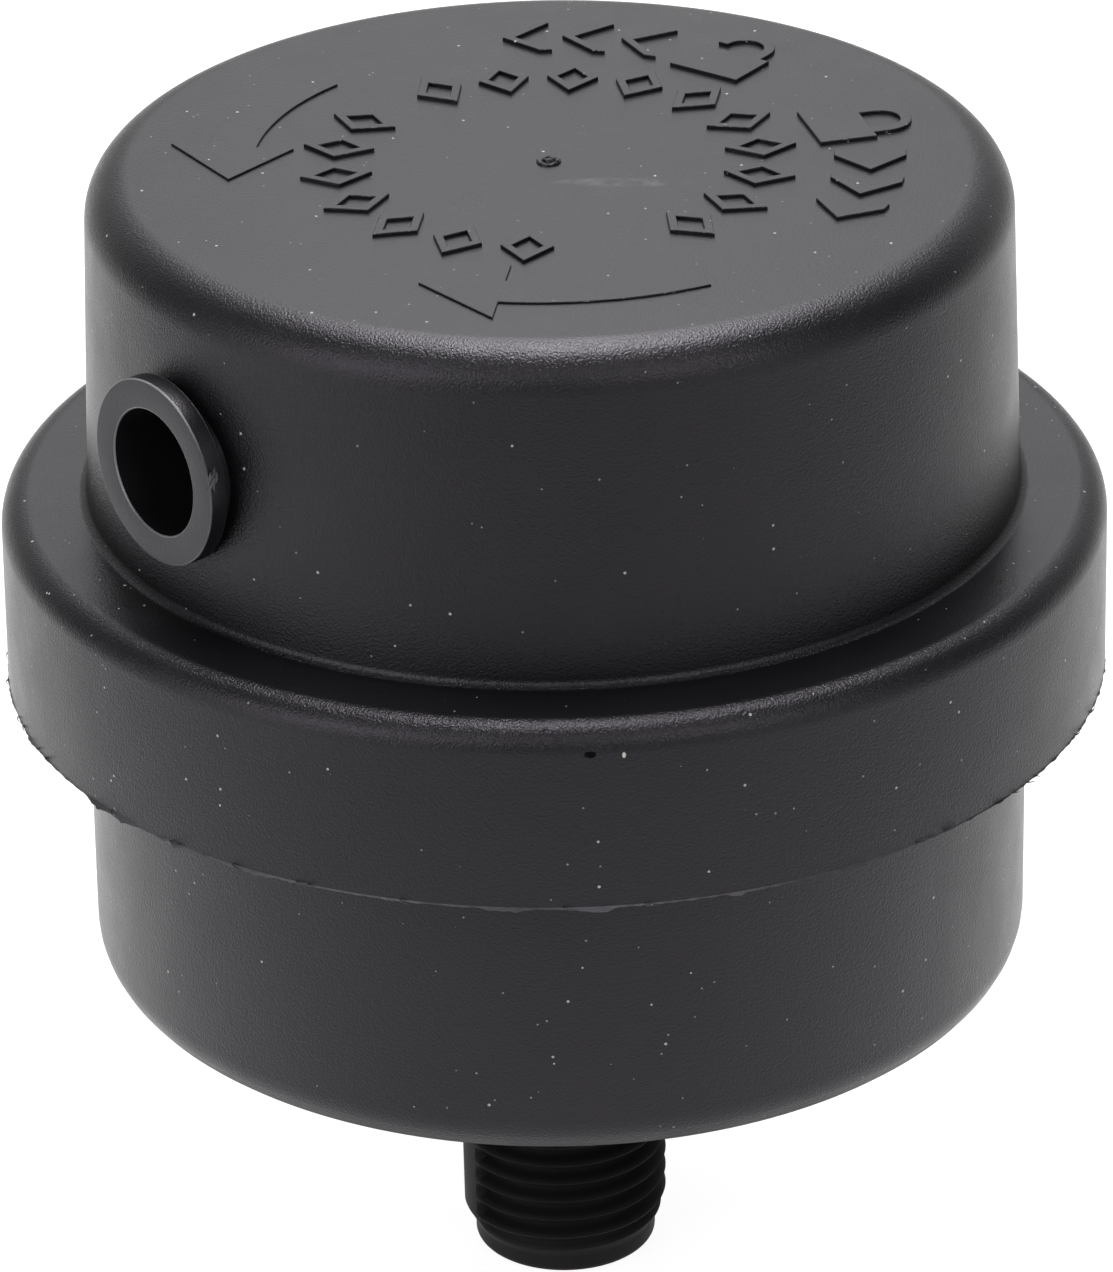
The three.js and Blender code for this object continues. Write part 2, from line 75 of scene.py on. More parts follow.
SYMBOL_HEIGHT = 0.22 * MM
LID_TOP = LID_HI.z - SYMBOL_HEIGHT
SKIRT_RADIUS = LID_HI.x
SKIRT_BOTTOM = LID_LO.z
CUP_TOP_RADIUS = 28.2 * MM
CUP_FOOT_RADIUS = 28.85 * MM
LID_WALL = 2.4 * MM
SKIRT_WALL = 2.3 * MM
FLANGE_TOP = 32.1 * MM
FLANGE_UNDER = 29.9 * MM
FLANGE_ROUNDING = 1.8 * MM
LID_TOP_ROUNDING = 2.8 * MM
POST_RADIUS = 3.5 * MM
POST_FOOT_RADIUS = 9 * MM
POST_FOOT_THICKNESS = 2 * MM

BASE_RADIUS = 29.35 * MM
BASE_WALL = 2.35 * MM
BASE_RIM = BASE_HI.z
BASE_FLOOR = 2.6 * MM
SPIGOT_RADIUS = 8.2 * MM
SPIGOT_TOP = 9.6 * MM
SEAT_TOP = 4.6 * MM
SEAT_RADIUS = 15.5 * MM
BASE_ROUNDING = 3.0 * MM

STEM_END = STEM_LO.z
LEAD_TOP = -20.8 * MM
LEAD_RADIUS = 5.8 * MM
OUTLET_RADIUS = 4.2 * MM
THREAD_PITCH = 25.4 / 19 * MM
THREAD_DEPTH = 0.856 * MM
THREAD_TOP = -1.1 * MM
CREST_TOP_RADIUS = 6.7 * MM
CREST_END_RADIUS = 6.5 * MM
RUN_IN = 1.4 * MM  # height over which the first turn grows to full depth
RUN_OUT = 0.8 * MM  # height over which the last turn dies away
THREAD_START = -90  # direction in which the thread starts
LAND_MIDDLE = 149  # direction of the plain land that interrupts the thread
LAND_HALF_SPAN = 24
LAND_BLEND = 3  # degrees over which the ridges run out into the land

LEAD_PER_TURN = 36 * MM  # the lid's climb in one full turn
LUG_ANGLES = (30, 150, 270)
LUG_HALF_SPAN = 13
LUG_THICKNESS = 1.6 * MM
LID_LUG_BOTTOM = 22.0 * MM

INLET_HEIGHT = (INLET_LO.z + INLET_HI.z) / 2
INLET_FACE_X = INLET_LO.x
INLET_FLANGE_RADIUS = 5.8 * MM
INLET_FLANGE_BACK = 1.18 * MM
INLET_TUBE_RADIUS = 5.0 * MM
INLET_BORE = 3.94 * MM

CLEARANCE = 0.3 * MM  # between pieces that touch
FILTER_SHEET = 0.8 * MM
PLEATS = 32
PLEAT_INNER = 11.9 * MM
FOAM_INNER = 21.2 * MM

ROUND = 256  # points round the lid
BASE_SIDES = 192  # points round the base

# ------------------------------------------------------------------ camera

CAMERA_AZIMUTH = -38.07
CAMERA_ELEVATION = 26.79
CAMERA_ROLL = -0.92
CAMERA_DISTANCE = 0.4886
CAMERA_LENS = 221.0
CAMERA_SHIFT = 0.0077


def make_camera():
    """A long lens that looks down at the skirt's lower edge."""
    data = bpy.data.cameras.new("camera")
    data.lens = CAMERA_LENS
    data.sensor_width = 36
    data.shift_y = CAMERA_SHIFT
    data.clip_start, data.clip_end = 0.01, 10
    camera = bpy.data.objects.new("camera", data)
    bpy.context.collection.objects.link(camera)
    azimuth, elevation = math.radians(CAMERA_AZIMUTH), math.radians(CAMERA_ELEVATION)
    back = Vector((
        math.sin(azimuth) * math.cos(elevation),
        -math.cos(azimuth) * math.cos(elevation),
        math.sin(elevation),
    ))
    camera.rotation_mode = "QUATERNION"
    aim = (-back).to_track_quat("-Z", "Y")
    camera.rotation_quaternion = aim @ Quaternion((0, 0, 1), math.radians(CAMERA_ROLL))
    camera.location = Vector((0, 0, SKIRT_BOTTOM)) + back * CAMERA_DISTANCE
    bpy.context.scene.camera = camera


make_camera()

# ------------------------------------------------------------------ mesh tools


def new_object(name, mesh):
    piece = bpy.data.objects.new(name, mesh)
    bpy.context.collection.objects.link(piece)
    return piece


def smooth(mesh, sharp_degrees=32):
    """Smooth shading, but with a crease at every edge that is sharper than the given angle."""
    mesh.polygons.foreach_set("use_smooth", [True] * len(mesh.polygons))
    mesh.set_sharp_from_angle(angle=math.radians(sharp_degrees))


def object_from(name, build):
    """Makes an object from a bmesh that `build` draws."""
    bm = bmesh.new()
    build(bm)
    bmesh.ops.recalc_face_normals(bm, faces=bm.faces)
    mesh = bpy.data.meshes.new(name)
    bm.to_mesh(mesh)
    bm.free()
    smooth(mesh)
    return new_object(name, mesh)


def rounded(corners, closed, arc_step=12):
    """Replaces each (r, z, rounding) corner of an outline by an arc of that radius."""
    points = []
    count = len(corners)
    for i, (r, z, radius) in enumerate(corners):
        here = Vector((r, z))
        if radius <= 0 or (not closed and i in (0, count - 1)):
            points.append(here)
            continue
        before = Vector(corners[i - 1][:2]) - here
        after = Vector(corners[(i + 1) % count][:2]) - here
        half = before.angle(after) / 2
        reach = min(radius / math.tan(half), 0.49 * before.length, 0.49 * after.length)
        radius = reach * math.tan(half)
        bisector = (before.normalized() + after.normalized()).normalized()
        centre = here + bisector * (radius / math.sin(half))
        start = here + before.normalized() * reach - centre
        turn = math.pi - 2 * half
        side = 1 if before.cross(after) < 0 else -1
        steps = max(2, math.ceil(math.degrees(turn) / arc_step))
        for k in range(steps + 1):
            swing = Matrix.Rotation(side * turn * k / steps, 2)
            points.append(centre + swing @ start)
    return points


def revolve(bm, outline, closed, sides=ROUND):
    """Revolves an outline of (r, z) points about +Z. An open outline starts and ends on the axis."""
    on_axis = 1e-7
    rings = []
    for r, z in outline:
        if r < on_axis:
            rings.append([bm.verts.new((0, 0, z))])
            continue
        angles = (2 * math.pi * i / sides for i in range(sides))
        rings.append([bm.verts.new((r * math.cos(a), r * math.sin(a), z)) for a in angles])
    pairs = list(zip(rings, rings[1:]))
    if closed:
        pairs.append((rings[-1], rings[0]))
    for lower, upper in pairs:
        for i in range(sides):
            k = (i + 1) % sides
            corners = [lower[i % len(lower)], lower[k % len(lower)]]
            corners += [upper[k % len(upper)], upper[i % len(upper)]]
            face = list(dict.fromkeys(corners))
            if len(face) > 2:
                bm.faces.new(face)


def turned(name, corners, closed=True, sides=ROUND, arc_step=12):
    """A turned piece from an outline of (r, z, rounding) corners."""
    outline = rounded(corners, closed, arc_step)
    return object_from(name, lambda bm: revolve(bm, outline, closed, sides))


def combine(target, tool, how):
    """Cuts or joins `tool` into `target` for good, and removes the tool."""
    modifier = target.modifiers.new("combine", "BOOLEAN")
    modifier.operation = how
    modifier.solver = "EXACT"
    modifier.object = tool
    view = bpy.context.evaluated_depsgraph_get()
    mesh = bpy.data.meshes.new_from_object(target.evaluated_get(view))
    target.modifiers.clear()
    target.data = mesh
    bpy.data.objects.remove(tool)
    smooth(mesh)


def lay_along_inlet(piece):
    """Turns a piece made along +Z from 0 so that it runs along +X from the inlet's face."""
    place = Matrix.Translation((INLET_FACE_X, 0, INLET_HEIGHT)) @ Matrix.Rotation(math.pi / 2, 4, "Y")
    piece.data.transform(place)


def bridge(bm, near, far):
    """Joins two closed sections by a band of four-sided faces."""
    count = len(near)
    for i in range(count):
        k = (i + 1) % count
        bm.faces.new((near[i], near[k], far[k], far[i]))


def swept_bar(bm, sections):
    """Joins a row of closed sections into a bar with flat ends."""
    rings = [[bm.verts.new(point) for point in section] for section in sections]
    for near, far in zip(rings, rings[1:]):
        bridge(bm, near, far)
    bm.faces.new(rings[0])
    bm.faces.new(rings[-1][::-1])


def section_at(degrees, corners):
    """Stands an outline of (r, z) corners up in a direction round the axis."""
    angle = math.radians(degrees)
    return [(r * math.cos(angle), r * math.sin(angle), z) for r, z in corners]


def degrees_apart(first, second):
    return abs((first - second + 180) % 360 - 180)


# ------------------------------------------------------------------ materials


RANGE_SOCKETS = ("From Min", "From Max", "To Min", "To Max")


class Shader:
    """A node material with a few shorthands. Everything is measured in the piece's own coordinates."""

    def __init__(self, name):
        self.material = bpy.data.materials.new(name)
        self.material.use_nodes = True
        self.nodes = self.material.node_tree.nodes
        self.links = self.material.node_tree.links
        self.surface = self.nodes["Principled BSDF"]
        self.place = self.nodes.new("ShaderNodeTexCoord").outputs["Object"]

    def constants(self, **values):
        for name, value in values.items():
            self.surface.inputs[name.replace("_", " ")].default_value = value

    def link(self, source, socket):
        self.links.new(source, socket)

    def noise(self, scale, detail=2.0, roughness=0.5, stretch=None):
        node = self.nodes.new("ShaderNodeTexNoise")
        node.inputs["Scale"].default_value = scale
        node.inputs["Detail"].default_value = detail
        node.inputs["Roughness"].default_value = roughness
        source = self.place
        if stretch:
            mapping = self.nodes.new("ShaderNodeMapping")
            mapping.inputs["Scale"].default_value = stretch
            self.link(self.place, mapping.inputs["Vector"])
            source = mapping.outputs["Vector"]
        self.link(source, node.inputs["Vector"])
        return node.outputs["Fac"]

    def ramp(self, value, low, high, to_low=0.0, to_high=1.0):
        """Maps low..high to to_low..to_high, and holds the end values outside."""
        node = self.nodes.new("ShaderNodeMapRange")
        for name, number in zip(RANGE_SOCKETS, (low, high, to_low, to_high)):
            node.inputs[name].default_value = number
        self.link(value, node.inputs["Value"])
        return node.outputs["Result"]

    def math(self, operation, a, b=0.0):
        node = self.nodes.new("ShaderNodeMath")
        node.operation = operation
        for socket, value in zip(node.inputs, (a, b)):
            if isinstance(value, (int, float)):
                socket.default_value = value
            else:
                self.link(value, socket)
        return node.outputs["Value"]

    def mix(self, factor, first, second):
        node = self.nodes.new("ShaderNodeMix")
        node.data_type = "RGBA"
        colours = [socket for socket in node.inputs if socket.type == "RGBA"]
        self.link(factor, node.inputs[0])
        for socket, value in zip(colours, (first, second)):
            if isinstance(value, tuple):
                socket.default_value = (*value, 1)
            else:
                self.link(value, socket)
        return next(socket for socket in node.outputs if socket.type == "RGBA")

    def bump(self, height, distance, strength=1.0):
        node = self.nodes.new("ShaderNodeBump")
        node.inputs["Distance"].default_value = distance
        if isinstance(strength, (int, float)):
            node.inputs["Strength"].default_value = strength
        else:
            self.link(strength, node.inputs["Strength"])
        self.link(height, node.inputs["Height"])
        return node.outputs["Normal"]

    def specks(self, scale, radius, keep):
        """1 on scattered specks: one possible speck in each cell, shown in a `keep` share of cells."""
        node = self.nodes.new("ShaderNodeTexVoronoi")
        node.inputs["Scale"].default_value = scale
        self.link(self.place, node.inputs["Vector"])
        split = self.nodes.new("ShaderNodeSeparateColor")
        self.link(node.outputs["Color"], split.inputs["Color"])
        near = self.math("LESS_THAN", node.outputs["Distance"], radius)
        chosen = self.math("LESS_THAN", split.outputs["Red"], keep)
        return self.math("MULTIPLY", near, chosen)

    def along(self, direction):
        """How far a point lies along a direction."""
        node = self.nodes.new("ShaderNodeVectorMath")
        node.operation = "DOT_PRODUCT"
        node.inputs[1].default_value = direction
        self.link(self.place, node.inputs[0])
        return node.outputs["Value"]

    def facing(self, direction):
        """The cosine between the surface's own direction and a given one."""
        node = self.nodes.new("ShaderNodeVectorMath")
        node.operation = "DOT_PRODUCT"
        node.inputs[1].default_value = direction
        self.link(self.nodes.new("ShaderNodeTexCoord").outputs["Normal"], node.inputs[0])
        return node.outputs["Value"]

    def patch(self, centre, degrees, half_size):
        """1 in the middle of an oval patch and 0 outside it. It lies turned by `degrees` about +Z."""
        mapping = self.nodes.new("ShaderNodeMapping")
        mapping.vector_type = "TEXTURE"
        mapping.inputs["Location"].default_value = centre
        mapping.inputs["Rotation"].default_value = (0, 0, math.radians(degrees))
        mapping.inputs["Scale"].default_value = half_size
        self.link(self.place, mapping.inputs["Vector"])
        length = self.nodes.new("ShaderNodeVectorMath")
        length.operation = "LENGTH"
        self.link(mapping.outputs["Vector"], length.inputs[0])
        return self.ramp(length.outputs["Value"], 0.6, 1.0, 1.0, 0.0)

    def finish(self, colour, roughness, normal=None):
        self.link(colour, self.surface.inputs["Base Color"])
        self.link(roughness, self.surface.inputs["Roughness"])
        if normal is not None:
            self.link(normal, self.surface.inputs["Normal"])
        return self.material


# Marks on the plastic, as (centre, degrees about +Z, half size).
SCUFF = ((1.4 * MM, -5.3 * MM, LID_TOP), -41, (4.6 * MM, 0.75 * MM, 1 * MM))
FLECK = ((-17.95 * MM, -29.12 * MM, 30.28 * MM), -20, (0.13 * MM, 0.3 * MM, 0.22 * MM))
PIT = ((-19.61 * MM, -28.02 * MM, 30.4 * MM), -35, (0.5 * MM, 0.5 * MM, 0.3 * MM))
# Dust, as (cells in a metre, radius as a share of a cell, share of cells with a speck, grey).
DUST = ((1400, 0.13, 0.036, 0.32), (2600, 0.18, 0.02, 0.17))
GRAIN_DEPTH = 0.055 * MM
LEVEL_FACE_GRAIN = 0.35  # how much of the grain is left on level faces
UNDERSIDE_SHADE_SHINE = 0.2  # how much of the shine is left on faces that look down, as painted shade
# how much rougher faces that look down become, as painted shade
UNDERSIDE_SHADE_ROUGHER = 0.3


def moulded_plastic(name, dark, light, roughness, grain, shine, dusty=True):
    """Black plastic with a spark-eroded grain, faint clouds and painted shade that dulls the faces that
    look down.

    It has a pit in the skirt, and where it is dusty also the lid's scuff, a fleck and dust."""
    shader = Shader(name)
    clouds = shader.ramp(shader.noise(120, 4), 0.3, 0.7)
    colour = shader.mix(clouds, dark, light)
    if dusty:
        streaks = shader.ramp(shader.noise(900, 3), 0.4, 0.65)
        scuff = shader.math("MULTIPLY", shader.patch(*SCUFF), streaks)
        colour = shader.mix(scuff, colour, (0.05, 0.05, 0.052))
        for scale, radius, keep, grey in DUST:
            colour = shader.mix(shader.specks(scale, radius, keep), colour, (grey, grey, grey))
        colour = shader.mix(shader.patch(*FLECK), colour, (0.5, 0.48, 0.44))
    pit = shader.math("MULTIPLY", shader.patch(*PIT), shader.noise(3000, 2))
    sheen = shader.ramp(pit, 0.25, 0.4, shine, 0.0)
    # Painted shade: faces that look down lose most of their shine and grow rougher.
    underside = shader.ramp(shader.facing((0, 0, -1)), 0.45, 0.85)
    sheen = shader.math("MULTIPLY", sheen, shader.ramp(underside, 0, 1, 1.0, UNDERSIDE_SHADE_SHINE))
    shader.link(sheen, shader.surface.inputs["Specular IOR Level"])
    gloss = shader.ramp(shader.noise(300, 3), 0.3, 0.7, roughness - 0.03, roughness + 0.03)
    gloss = shader.math("ADD", gloss, shader.math("MULTIPLY", underside, UNDERSIDE_SHADE_ROUGHER))
    level = shader.ramp(shader.facing((0, 0, 1)), 0.97, 0.998, grain, LEVEL_FACE_GRAIN * grain)
    normal = shader.bump(shader.noise(6500, 2, 0.6), GRAIN_DEPTH, level)
    shader.constants(Specular_Tint=(0.95, 0.9, 1.0, 1))
    return shader.finish(colour, gloss, normal)


def plain_rubber(name, colour):
    """Matt rubber, a little lighter in clouds."""
    shader = Shader(name)
    clouds = shader.noise(400, 3)
    tint = shader.mix(clouds, colour, tuple(1.8 * part for part in colour))
    gloss = shader.ramp(clouds, 0.3, 0.7, 0.55, 0.72)
    return shader.finish(tint, gloss, shader.bump(shader.noise(3000), 0.02 * MM, 0.5))


def plated_steel(name):
    """Zinc-plated sheet with faint spangle and drawing marks."""
    shader = Shader(name)
    spangle = shader.noise(260, 4)
    colour = shader.mix(spangle, (0.50, 0.51, 0.52), (0.66, 0.67, 0.66))
    gloss = shader.ramp(shader.noise(900, 4), 0.3, 0.7, 0.26, 0.42)
    shader.constants(Metallic=1.0)
    return shader.finish(colour, gloss, shader.bump(shader.noise(1400, 3), 0.01 * MM, 0.5))


def pleated_paper(name):
    """Resin-treated paper with visible fibres."""
    shader = Shader(name)
    fibres = shader.noise(1200, 5, 0.6, stretch=(1, 1, 0.3))
    colour = shader.mix(fibres, (0.66, 0.55, 0.34), (0.82, 0.74, 0.54))
    gloss = shader.ramp(fibres, 0.3, 0.7, 0.85, 0.95)
    return shader.finish(colour, gloss, shader.bump(fibres, 0.05 * MM, 0.6))


def open_foam(name):
    """Foam with open cells, with painted shade that darkens it where each cell is deepest."""
    shader = Shader(name)
    cells = shader.nodes.new("ShaderNodeTexVoronoi")
    cells.inputs["Scale"].default_value = 1300
    shader.link(shader.place, cells.inputs["Vector"])
    depth = cells.outputs["Distance"]
    # Painted shade: darker where the cells are deeper.
    colour = shader.mix(shader.ramp(depth, 0.0, 0.7), (0.085, 0.085, 0.09), (0.018, 0.018, 0.02))
    gloss = shader.ramp(shader.noise(500), 0.3, 0.7, 0.9, 1.0)
    return shader.finish(colour, gloss, shader.bump(shader.math("MULTIPLY", depth, -1.0), 0.4 * MM, 0.8))


def pressed_felt(name):
    """Pressed wool felt."""
    shader = Shader(name)
    wool = shader.noise(2200, 6, 0.7)
    colour = shader.mix(wool, (0.38, 0.37, 0.33), (0.62, 0.6, 0.55))
    gloss = shader.ramp(wool, 0.2, 0.8, 0.92, 1.0)
    return shader.finish(colour, gloss, shader.bump(wool, 0.12 * MM, 0.8))


def set_adhesive(name):
    """Glue that has set, with a faint flow pattern."""
    shader = Shader(name)
    flow = shader.noise(500, 3)
    colour = shader.mix(flow, (0.22, 0.24, 0.26), (0.32, 0.34, 0.36))
    gloss = shader.ramp(flow, 0.3, 0.7, 0.35, 0.5)
    return shader.finish(colour, gloss, shader.bump(flow, 0.1 * MM, 0.4))


HOUSING = moulded_plastic(
    "housing_plastic", (0.0042, 0.0040, 0.0047), (0.0062, 0.0058, 0.0068),
    roughness=0.3, grain=1.0, shine=0.38)
# Painted shade: the stem gets a duller copy of the housing plastic, whose weak shine stands in for the
# shade under the base.
STEM = moulded_plastic(
    "stem_plastic_painted_shade", (0.0048, 0.0045, 0.0046), (0.0068, 0.0064, 0.0064),
    roughness=0.62, grain=0.4, shine=0.14, dusty=False)
FLASH = moulded_plastic(
    "flash_plastic", (0.012, 0.0115, 0.013), (0.075, 0.073, 0.08),
    roughness=0.4, grain=0.4, shine=0.5, dusty=False)
INLET = moulded_plastic(
    "inlet_plastic", (0.005, 0.0047, 0.0055), (0.007, 0.0066, 0.0076),
    roughness=0.32, grain=0.3, shine=0.42, dusty=False)
# Lighter plastic: its own colour on the trimmed gate mark, and a painted highlight on the inlet's
# rounded edges.
TRIMMED_AND_GLINT = moulded_plastic(
    "trimmed_plastic_and_painted_glint", (0.02, 0.0195, 0.021), (0.26, 0.255, 0.27),
    roughness=0.35, grain=0.3, shine=0.5, dusty=False)
RUBBER = plain_rubber("rubber", (0.006, 0.006, 0.0062))
STEEL = plated_steel("cap_steel")
PAPER = pleated_paper("filter_paper")
FOAM = open_foam("foam")
FELT = pressed_felt("felt")
POTTING = set_adhesive("potting")


def fit(piece, body, slot, material, *nodes):
    """Gives a piece its material, its CAD body, and the CAD nodes it stands for. The slot is not used.
    """
    piece.data.materials.clear()
    piece.data.materials.append(material)
    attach(piece, body)
    if nodes:
        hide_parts(*nodes)


# ------------------------------------------------------------------ lid


def lug(bm, inner, outer, middle, bottom):
    """A ramped lug that follows the lid's climb."""
    steps = 16
    sections = []
    for i in range(steps + 1):
        offset = LUG_HALF_SPAN * (2 * i / steps - 1)
        low = bottom + LEAD_PER_TURN * offset / 360
        high = low + LUG_THICKNESS
        corners = [(inner, low), (outer, low), (outer, high), (inner, high)]
        sections.append(section_at(middle + offset, corners))
    swept_bar(bm, sections)


def lid_shell():
    """The cup, flange and skirt."""
    cup_inner = CUP_TOP_RADIUS - LID_WALL
    foot_inner = CUP_FOOT_RADIUS - LID_WALL
    skirt_inner = SKIRT_RADIUS - SKIRT_WALL
    roof = LID_TOP - LID_WALL
    return turned("lid_housing_shell", [
        (0, roof, 0),
        (cup_inner, roof, 1.2 * MM),
        (foot_inner, FLANGE_UNDER, 0.3 * MM),
        (skirt_inner, FLANGE_UNDER, 0.4 * MM),
        (skirt_inner, SKIRT_BOTTOM, 0.1 * MM),
        (SKIRT_RADIUS, SKIRT_BOTTOM, 0.12 * MM),
        (SKIRT_RADIUS - 0.05 * MM, FLANGE_TOP, FLANGE_ROUNDING),
        (CUP_FOOT_RADIUS, FLANGE_TOP, 0.55 * MM),
        (CUP_TOP_RADIUS, LID_TOP, LID_TOP_ROUNDING),
        (0, LID_TOP, 0),
    ], closed=False, arc_step=6)


def hold_down_post():
    """The post that holds the filter down, turned a little so that its rows miss the shell's."""
    foot = PAD_HI.z + CLEARANCE
    shoulder = foot + POST_FOOT_THICKNESS
    inside_roof = LID_TOP - LID_WALL / 2
    post = turned("post", [
        (0, foot, 0),
        (POST_FOOT_RADIUS, foot, 0.3 * MM),
        (POST_FOOT_RADIUS, shoulder, 0.5 * MM),
        (POST_RADIUS, shoulder + 1 * MM, 1 * MM),
        (POST_RADIUS, inside_roof, 0),
        (0, inside_roof, 0),
    ], closed=False, sides=64)
    post.data.transform(Matrix.Rotation(math.radians(1.3), 4, "Z"))
    return post


def inlet_rod(name, radius, start, end):
    """A plain round tool along the inlet, from `start` to `end` behind the inlet's face."""
    corners = [(0, start, 0), (radius, start, 0), (radius, end, 0), (0, end, 0)]
    rod = turned(name, corners, closed=False, sides=128)
    lay_along_inlet(rod)
    return rod


def make_lid():
    lid = lid_shell()
    combine(lid, hold_down_post(), "UNION")
    inner, outer = BASE_RADIUS + 0.45 * MM, SKIRT_RADIUS - SKIRT_WALL + 0.4 * MM
    for angle in LUG_ANGLES:
        tool = object_from("lug", lambda bm: lug(bm, inner, outer, angle, LID_LUG_BOTTOM))
        combine(lid, tool, "UNION")
    combine(lid, inlet_rod("hole", INLET_TUBE_RADIUS + 0.05 * MM, -1 * MM, 8 * MM), "DIFFERENCE")
    lid.name = "lid_housing_moulding"
    fit(lid, "lid", "housing_plastic", HOUSING, "lid_housing")


def make_flash():
    """The thin ragged fin and a few hairs that the mould leaves along the skirt's lower edge."""
    rng = random.Random(11)
    count = 1080
    # Stretches where the fin hangs out further, as (middle, half span) in degrees.
    wide = [(199, 3.5), (178, 3), (262, 2)]
    wide += [(rng.uniform(0, 360), rng.uniform(1, 3)) for _ in range(14)]
    heights = [rng.random() ** 3 for _ in range(count)]
    ridge = [0.25 * (heights[i - 1] + 2 * heights[i] + heights[(i + 1) % count]) for i in range(count)]
    outer, low = SKIRT_RADIUS - 0.03 * MM, SKIRT_BOTTOM

    def fin_section(degrees, height):
        off = min(degrees_apart(degrees, middle) / half_span for middle, half_span in wide)
        flap = max(1 - off * off, 0) * (0.5 + height)
        reach = (0.04 + 0.13 * height + 0.14 * flap) * MM
        drop = (0.01 + 0.03 * height + 0.16 * flap) * MM
        root_low, root_high = (outer - 0.1 * MM, low + 0.1 * MM), (outer, low + 0.12 * MM)
        return section_at(degrees, [root_low, (outer + reach, low - drop), root_high])

    def hair_section(share, degrees, bend, length):
        """The square section of a hair at a share of its length."""
        sway = share + 0.2 * bend * math.sin(3 * share)
        r = SKIRT_RADIUS + 0.05 * MM + 0.12 * MM * math.sin(math.pi * share)
        z = low + (0.05 + 0.45 * bend * share * share) * MM
        half = 0.032 * MM * (1.2 - share)
        corners = [(r + a * half, z + b * half) for a, b in ((-1, -1), (1, -1), (1, 1), (-1, 1))]
        return section_at(degrees + math.degrees(length / SKIRT_RADIUS) * sway, corners)

    def build(bm):
        sections = [fin_section(360 * i / count, height) for i, height in enumerate(ridge)]
        rings = [[bm.verts.new(point) for point in section] for section in sections]
        for near, far in zip(rings, rings[1:] + rings[:1]):
            bridge(bm, near, far)
        hairs, steps = 44, 6
        for _ in range(hairs):
            degrees = rng.uniform(0, 360)
            bend = rng.uniform(-1, 1)
            length = rng.uniform(0.4, 1.3) * MM
            swept_bar(bm, [hair_section(k / steps, degrees, bend, length) for k in range(steps + 1)])

    flash = object_from("lid_mould_flash", build)
    fit(flash, "lid", "housing_plastic", FLASH)


# ------------------------------------------------------------------ raised symbols

ARROW_RADIUS = 19.5  # in millimetres, like every symbol's outline
DIAMOND_RING_RADIUS = 13  # in millimetres
ARROW_HEIGHT = 0.13 * MM
SYMBOL_SUNK = 0.2 * MM  # how far the symbols reach down into the lid
SYMBOL_BEVEL = 0.04 * MM


def arrow_outline(tip_angle, sense):
    """A curved arrow, in millimetres, that points the way `sense` turns (+1 is counter-clockwise)."""
    shaft_half, head_half, head_angle, shaft_angle = 1.5, 3.8, 15, 35
    neck = tip_angle - sense * head_angle
    tail = neck - sense * shaft_angle
    steps = 28

    def at(radius, degrees):
        angle = math.radians(degrees)
        return radius * math.cos(angle), radius * math.sin(angle)

    angles = [tail + (neck - tail) * i / steps for i in range(steps + 1)]
    points = [at(ARROW_RADIUS + shaft_half, angle) for angle in angles]
    points += [at(ARROW_RADIUS + head_half, neck), at(ARROW_RADIUS, tip_angle)]
    points.append(at(ARROW_RADIUS - head_half, neck))
    points += [at(ARROW_RADIUS - shaft_half, angle) for angle in reversed(angles)]
    return points


def padlock(open_lock):
    """A padlock's outline and the hole inside its bow. Open, the bow's left leg ends in the air."""
    wide, bottom, top = 2.5, -3, 0.6
    outer, inner, bow_middle, cut = 1.9, 1.2, 1.6, 1.5
    steps = 16

    def bow(radius, i):
        angle = math.pi * i / steps
        return radius * math.cos(angle), bow_middle + radius * math.sin(angle)

    body = [(-wide, top), (-wide, bottom), (wide, bottom), (wide, top), (outer, top)]
    outside = [bow(outer, i) for i in range(steps + 1)]
    inside = [bow(inner, i) for i in range(steps + 1)]
    if open_lock:
        return body + outside + [(-outer, cut), (-inner, cut)] + inside[::-1] + [(inner, top)], None
    return body + outside + [(-outer, top)], [(inner, top)] + inside + [(-inner, top)]


def chevron_outline(sense):
    """A V-shaped stroke that points along +X or -X."""
    reach, rise, wide = 1.1, 2.2, 0.8
    outer = [(-reach + wide, -rise), (reach + wide, 0), (-reach + wide, rise)]
    inner = [(-reach, rise), (reach, 0)]
    return [(sense * x, y) for x, y in [(-reach, -rise), *outer, *inner]]


def on_circle(outline, radius, degrees):
    """Moves an upright outline out to a circle round the axis."""
    turn = Matrix.Rotation(math.radians(degrees - 90), 2)
    return [tuple(turn @ Vector((x, y + radius))) for x, y in outline]


def arrow_outlines():
    return [(arrow_outline(148.3, 1), None), (arrow_outline(-151.5, -1), None)]


def symbol_outlines():
    """The padlocks, chevrons and diamonds as (outline, hole or None), in millimetres."""
    symbols = []
    for middle, step, sense, open_lock in ((32.5, 11, -1, True), (-39.6, -11, 1, False)):
        lock_angle = middle - 1.5 * step
        lock = padlock(open_lock)
        symbols.append(tuple(loop and on_circle(loop, ARROW_RADIUS, lock_angle) for loop in lock))
        for i in range(3):
            symbols.append((on_circle(chevron_outline(sense), ARROW_RADIUS, middle + i * step), None))
    half_width, half_height, inner = 1.6, 2.2, 0.584
    diamond = [(half_width, 0), (0, half_height), (-half_width, 0), (0, -half_height)]
    hole = [(inner * x, inner * y) for x, y in diamond]
    for first, count in ((83, 10), (-134, 7)):
        for i in range(count):
            angle = first - 19 * i
            rim = on_circle(diamond, DIAMOND_RING_RADIUS, angle)
            symbols.append((rim, on_circle(hole, DIAMOND_RING_RADIUS, angle)))
    return symbols


